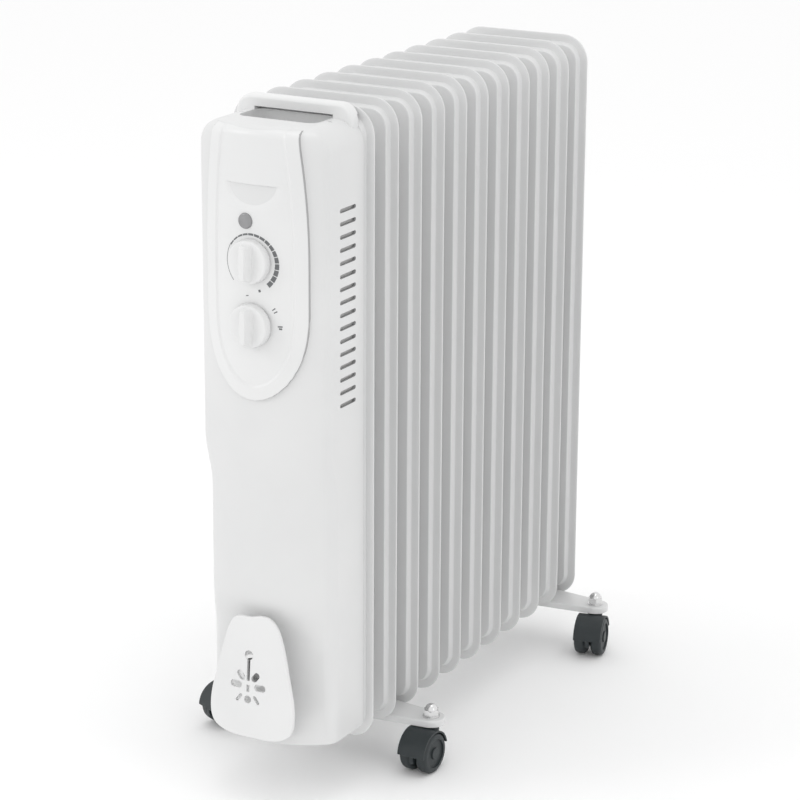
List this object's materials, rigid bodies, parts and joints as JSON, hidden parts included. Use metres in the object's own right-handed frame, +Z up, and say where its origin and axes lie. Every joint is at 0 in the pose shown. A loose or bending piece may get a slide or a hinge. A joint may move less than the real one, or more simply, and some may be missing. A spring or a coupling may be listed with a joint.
{
  "type": "oil filled radiator heater",
  "caption": "Portable oil filled column radiator: a stack of pressed steel fins with a front control housing, cord wrap plate and swivel casters.",
  "frame": {"origin": "on the floor, in the middle plane of the heater, below the middle fin of the stack", "axes": "+Z up, +Y to the rear along the fin stack, +X to the right seen from the front (controls face -Y)"},
  "size_m": [0.2662, 0.5361, 0.626],
  "materials": {
    "enamel": "white baked enamel",
    "white_shell": "white moulded plastic, satin",
    "white_control": "white moulded plastic, semi gloss",
    "lens": "smoky grey lens",
    "dark_plastic": "black moulded plastic",
    "plated_steel": "zinc plated steel",
    "bright_steel": "bright nickel plate",
    "element_steel": "element sheath",
    "brass_contact": "brass",
    "gasket": "heat resistant rubber",
    "insulator": "moulded insulator",
    "wire": "insulated wire"
  },
  "bodies": {
    "radiator": {"back_plate": "plated_steel", "carry_handle": "white_control", "caster_cap_nuts": "bright_steel", "caster_stems": "plated_steel", "control_bracket": "plated_steel", "control_fascia": "white_control", "cord_gland": "dark_plastic", "cord_plate_screws": "plated_steel", "cord_wrap_plate": "white_control", "element_flange": "brass_contact", "element_gasket": "gasket", "fin_01": "enamel", "fin_02": "enamel", "fin_03": "enamel", "fin_04": "enamel", "fin_05": "enamel", "fin_06": "enamel", "fin_07": "enamel", "fin_08": "enamel", "fin_09": "enamel", "fin_10": "enamel", "fin_11": "enamel", "foot_u_bolts": "plated_steel", "foot_wing_nuts": "plated_steel", "front_foot_bracket": "enamel", "handle_screws": "plated_steel", "heating_element": "element_steel", "housing_screws": "plated_steel", "housing_shell": "white_shell", "indicator_lamp": "insulator", "indicator_lens": "lens", "lower_header_collars": "enamel", "oil_filler_plug": "plated_steel", "rear_foot_bracket": "enamel", "selector_body": "insulator", "terminal_block": "insulator", "thermal_cutout": "insulator", "thermostat_body": "insulator", "upper_header_collars": "enamel", "wiring_loom": "wire"},
    "front_left_caster": {"front_left_caster_hood": "dark_plastic", "front_left_caster_axle": "plated_steel"},
    "front_left_wheel_left": {"front_left_caster_wheel_left": "dark_plastic"},
    "front_left_wheel_right": {"front_left_caster_wheel_right": "dark_plastic"},
    "front_right_caster": {"front_right_caster_hood": "dark_plastic", "front_right_caster_axle": "plated_steel"},
    "front_right_wheel_left": {"front_right_caster_wheel_left": "dark_plastic"},
    "front_right_wheel_right": {"front_right_caster_wheel_right": "dark_plastic"},
    "rear_left_caster": {"rear_left_caster_hood": "dark_plastic", "rear_left_caster_axle": "plated_steel"},
    "rear_left_wheel_left": {"rear_left_caster_wheel_left": "dark_plastic"},
    "rear_left_wheel_right": {"rear_left_caster_wheel_right": "dark_plastic"},
    "rear_right_caster": {"rear_right_caster_hood": "dark_plastic", "rear_right_caster_axle": "plated_steel"},
    "rear_right_wheel_left": {"rear_right_caster_wheel_left": "dark_plastic"},
    "rear_right_wheel_right": {"rear_right_caster_wheel_right": "dark_plastic"},
    "thermostat_dial": {"thermostat_knob": "white_control", "thermostat_shaft": "plated_steel"},
    "selector_dial": {"selector_knob": "white_control", "selector_shaft": "plated_steel"}
  },
  "joints": [
    {"name": "front_left_swivel", "type": "hinge", "parent": "radiator", "child": "front_left_caster", "pos_m": [-0.1125, -0.147, 0.037], "axis": [0, 0, 1], "continuous": true},
    {"name": "front_left_wheel_left_spin", "type": "hinge", "parent": "front_left_caster", "child": "front_left_wheel_left", "pos_m": [-0.11884, -0.16059, 0.019], "axis": [0.9063, -0.4226, 0], "continuous": true},
    {"name": "front_left_wheel_right_spin", "type": "hinge", "parent": "front_left_caster", "child": "front_left_wheel_right", "pos_m": [-0.11884, -0.16059, 0.019], "axis": [0.9063, -0.4226, 0], "continuous": true},
    {"name": "front_right_swivel", "type": "hinge", "parent": "radiator", "child": "front_right_caster", "pos_m": [0.0965, -0.147, 0.037], "axis": [0, 0, 1], "continuous": true},
    {"name": "front_right_wheel_left_spin", "type": "hinge", "parent": "front_right_caster", "child": "front_right_wheel_left", "pos_m": [0.09571, -0.16198, 0.019], "axis": [0.9986, -0.0523, 0], "continuous": true},
    {"name": "front_right_wheel_right_spin", "type": "hinge", "parent": "front_right_caster", "child": "front_right_wheel_right", "pos_m": [0.09571, -0.16198, 0.019], "axis": [0.9986, -0.0523, 0], "continuous": true},
    {"name": "rear_left_swivel", "type": "hinge", "parent": "radiator", "child": "rear_left_caster", "pos_m": [-0.1045, 0.189, 0.037], "axis": [0, 0, 1], "continuous": true},
    {"name": "rear_left_wheel_left_spin", "type": "hinge", "parent": "rear_left_caster", "child": "rear_left_wheel_left", "pos_m": [-0.10087, 0.17445, 0.019], "axis": [0.9703, 0.2419, 0], "continuous": true},
    {"name": "rear_left_wheel_right_spin", "type": "hinge", "parent": "rear_left_caster", "child": "rear_left_wheel_right", "pos_m": [-0.10087, 0.17445, 0.019], "axis": [0.9703, 0.2419, 0], "continuous": true},
    {"name": "rear_right_swivel", "type": "hinge", "parent": "radiator", "child": "rear_right_caster", "pos_m": [0.1045, 0.189, 0.037], "axis": [0, 0, 1], "continuous": true},
    {"name": "rear_right_wheel_left_spin", "type": "hinge", "parent": "rear_right_caster", "child": "rear_right_wheel_left", "pos_m": [0.10762, 0.17433, 0.019], "axis": [0.9781, 0.2079, 0], "continuous": true},
    {"name": "rear_right_wheel_right_spin", "type": "hinge", "parent": "rear_right_caster", "child": "rear_right_wheel_right", "pos_m": [0.10762, 0.17433, 0.019], "axis": [0.9781, 0.2079, 0], "continuous": true},
    {"name": "thermostat_turn", "type": "hinge", "parent": "radiator", "child": "thermostat_dial", "pos_m": [0, -0.3, 0.4985], "axis": [0, -1, 0], "range_deg": [-135, 135]},
    {"name": "selector_turn", "type": "hinge", "parent": "radiator", "child": "selector_dial", "pos_m": [0, -0.3, 0.4425], "axis": [0, -1, 0], "range_deg": [-90, 0]}
  ]
}
